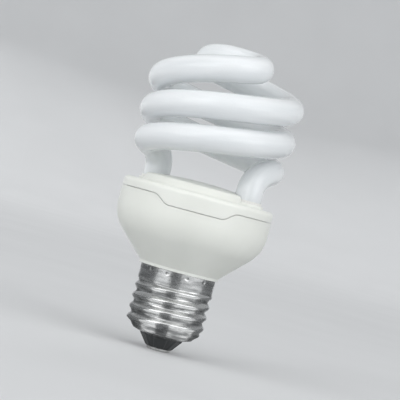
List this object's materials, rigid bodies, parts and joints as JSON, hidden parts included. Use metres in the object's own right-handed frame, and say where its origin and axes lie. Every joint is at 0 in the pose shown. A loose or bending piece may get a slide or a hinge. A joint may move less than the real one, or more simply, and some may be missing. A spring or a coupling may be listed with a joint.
{
  "type": "compact fluorescent bulb",
  "caption": "Spiral compact fluorescent bulb: a white glass tube coiled as a double helix on a round moulded ballast housing, with a rolled screw cap and a centre contact.",
  "frame": {"origin": "centre of the contact face at the tip of the screw cap", "axes": "+Z along the lamp from the contact to the top of the spiral, -Y is the front, +X to the right as seen from the front"},
  "size_m": [0.0536, 0.0536, 0.1046],
  "materials": {
    "coated_glass": "gloss, white coating inside",
    "cement": "matt",
    "housing_plastic": "fine moulded satin",
    "cap_metal": "rolled nickel-plated sheet",
    "insulator_glass": "opaque black glass",
    "contact_metal": "tinned",
    "solder": "dull",
    "board": "resin-bonded paper",
    "capacitor_sleeve": "shrink sleeve",
    "ferrite": "matt sintered",
    "bobbin_plastic": "moulded",
    "copper_wire": "enamelled copper",
    "film_dip": "dipped resin",
    "semiconductor_case": "moulded epoxy",
    "resistor_body": "lacquered",
    "fuse_body": "lacquered",
    "live_wire": "insulated",
    "neutral_wire": "insulated",
    "pin_metal": "tinned",
    "lead_metal": "drawn wire"
  },
  "bodies": {
    "root": {"spiral_tube": "coated_glass", "tube_cement": "cement", "top_cover": "housing_plastic", "lower_housing": "housing_plastic", "cap_shell": "cap_metal", "cap_insulator": "insulator_glass", "centre_contact": "contact_metal", "contact_solder": "solder", "ballast_board": "board", "solder_joints": "solder", "bulk_capacitor": "capacitor_sleeve", "choke_core": "ferrite", "choke_bobbin": "bobbin_plastic", "choke_winding": "copper_wire", "drive_ring": "ferrite", "drive_windings": "copper_wire", "transistor_high": "semiconductor_case", "transistor_low": "semiconductor_case", "start_capacitor": "film_dip", "coupling_capacitor": "film_dip", "rectifier_diodes": "semiconductor_case", "trigger_diode": "fuse_body", "resistors": "resistor_body", "fuse_resistor": "fuse_body", "live_lead": "live_wire", "neutral_lead": "neutral_wire", "wrap_pins": "pin_metal", "filament_leads": "lead_metal"}
  },
  "joints": []
}
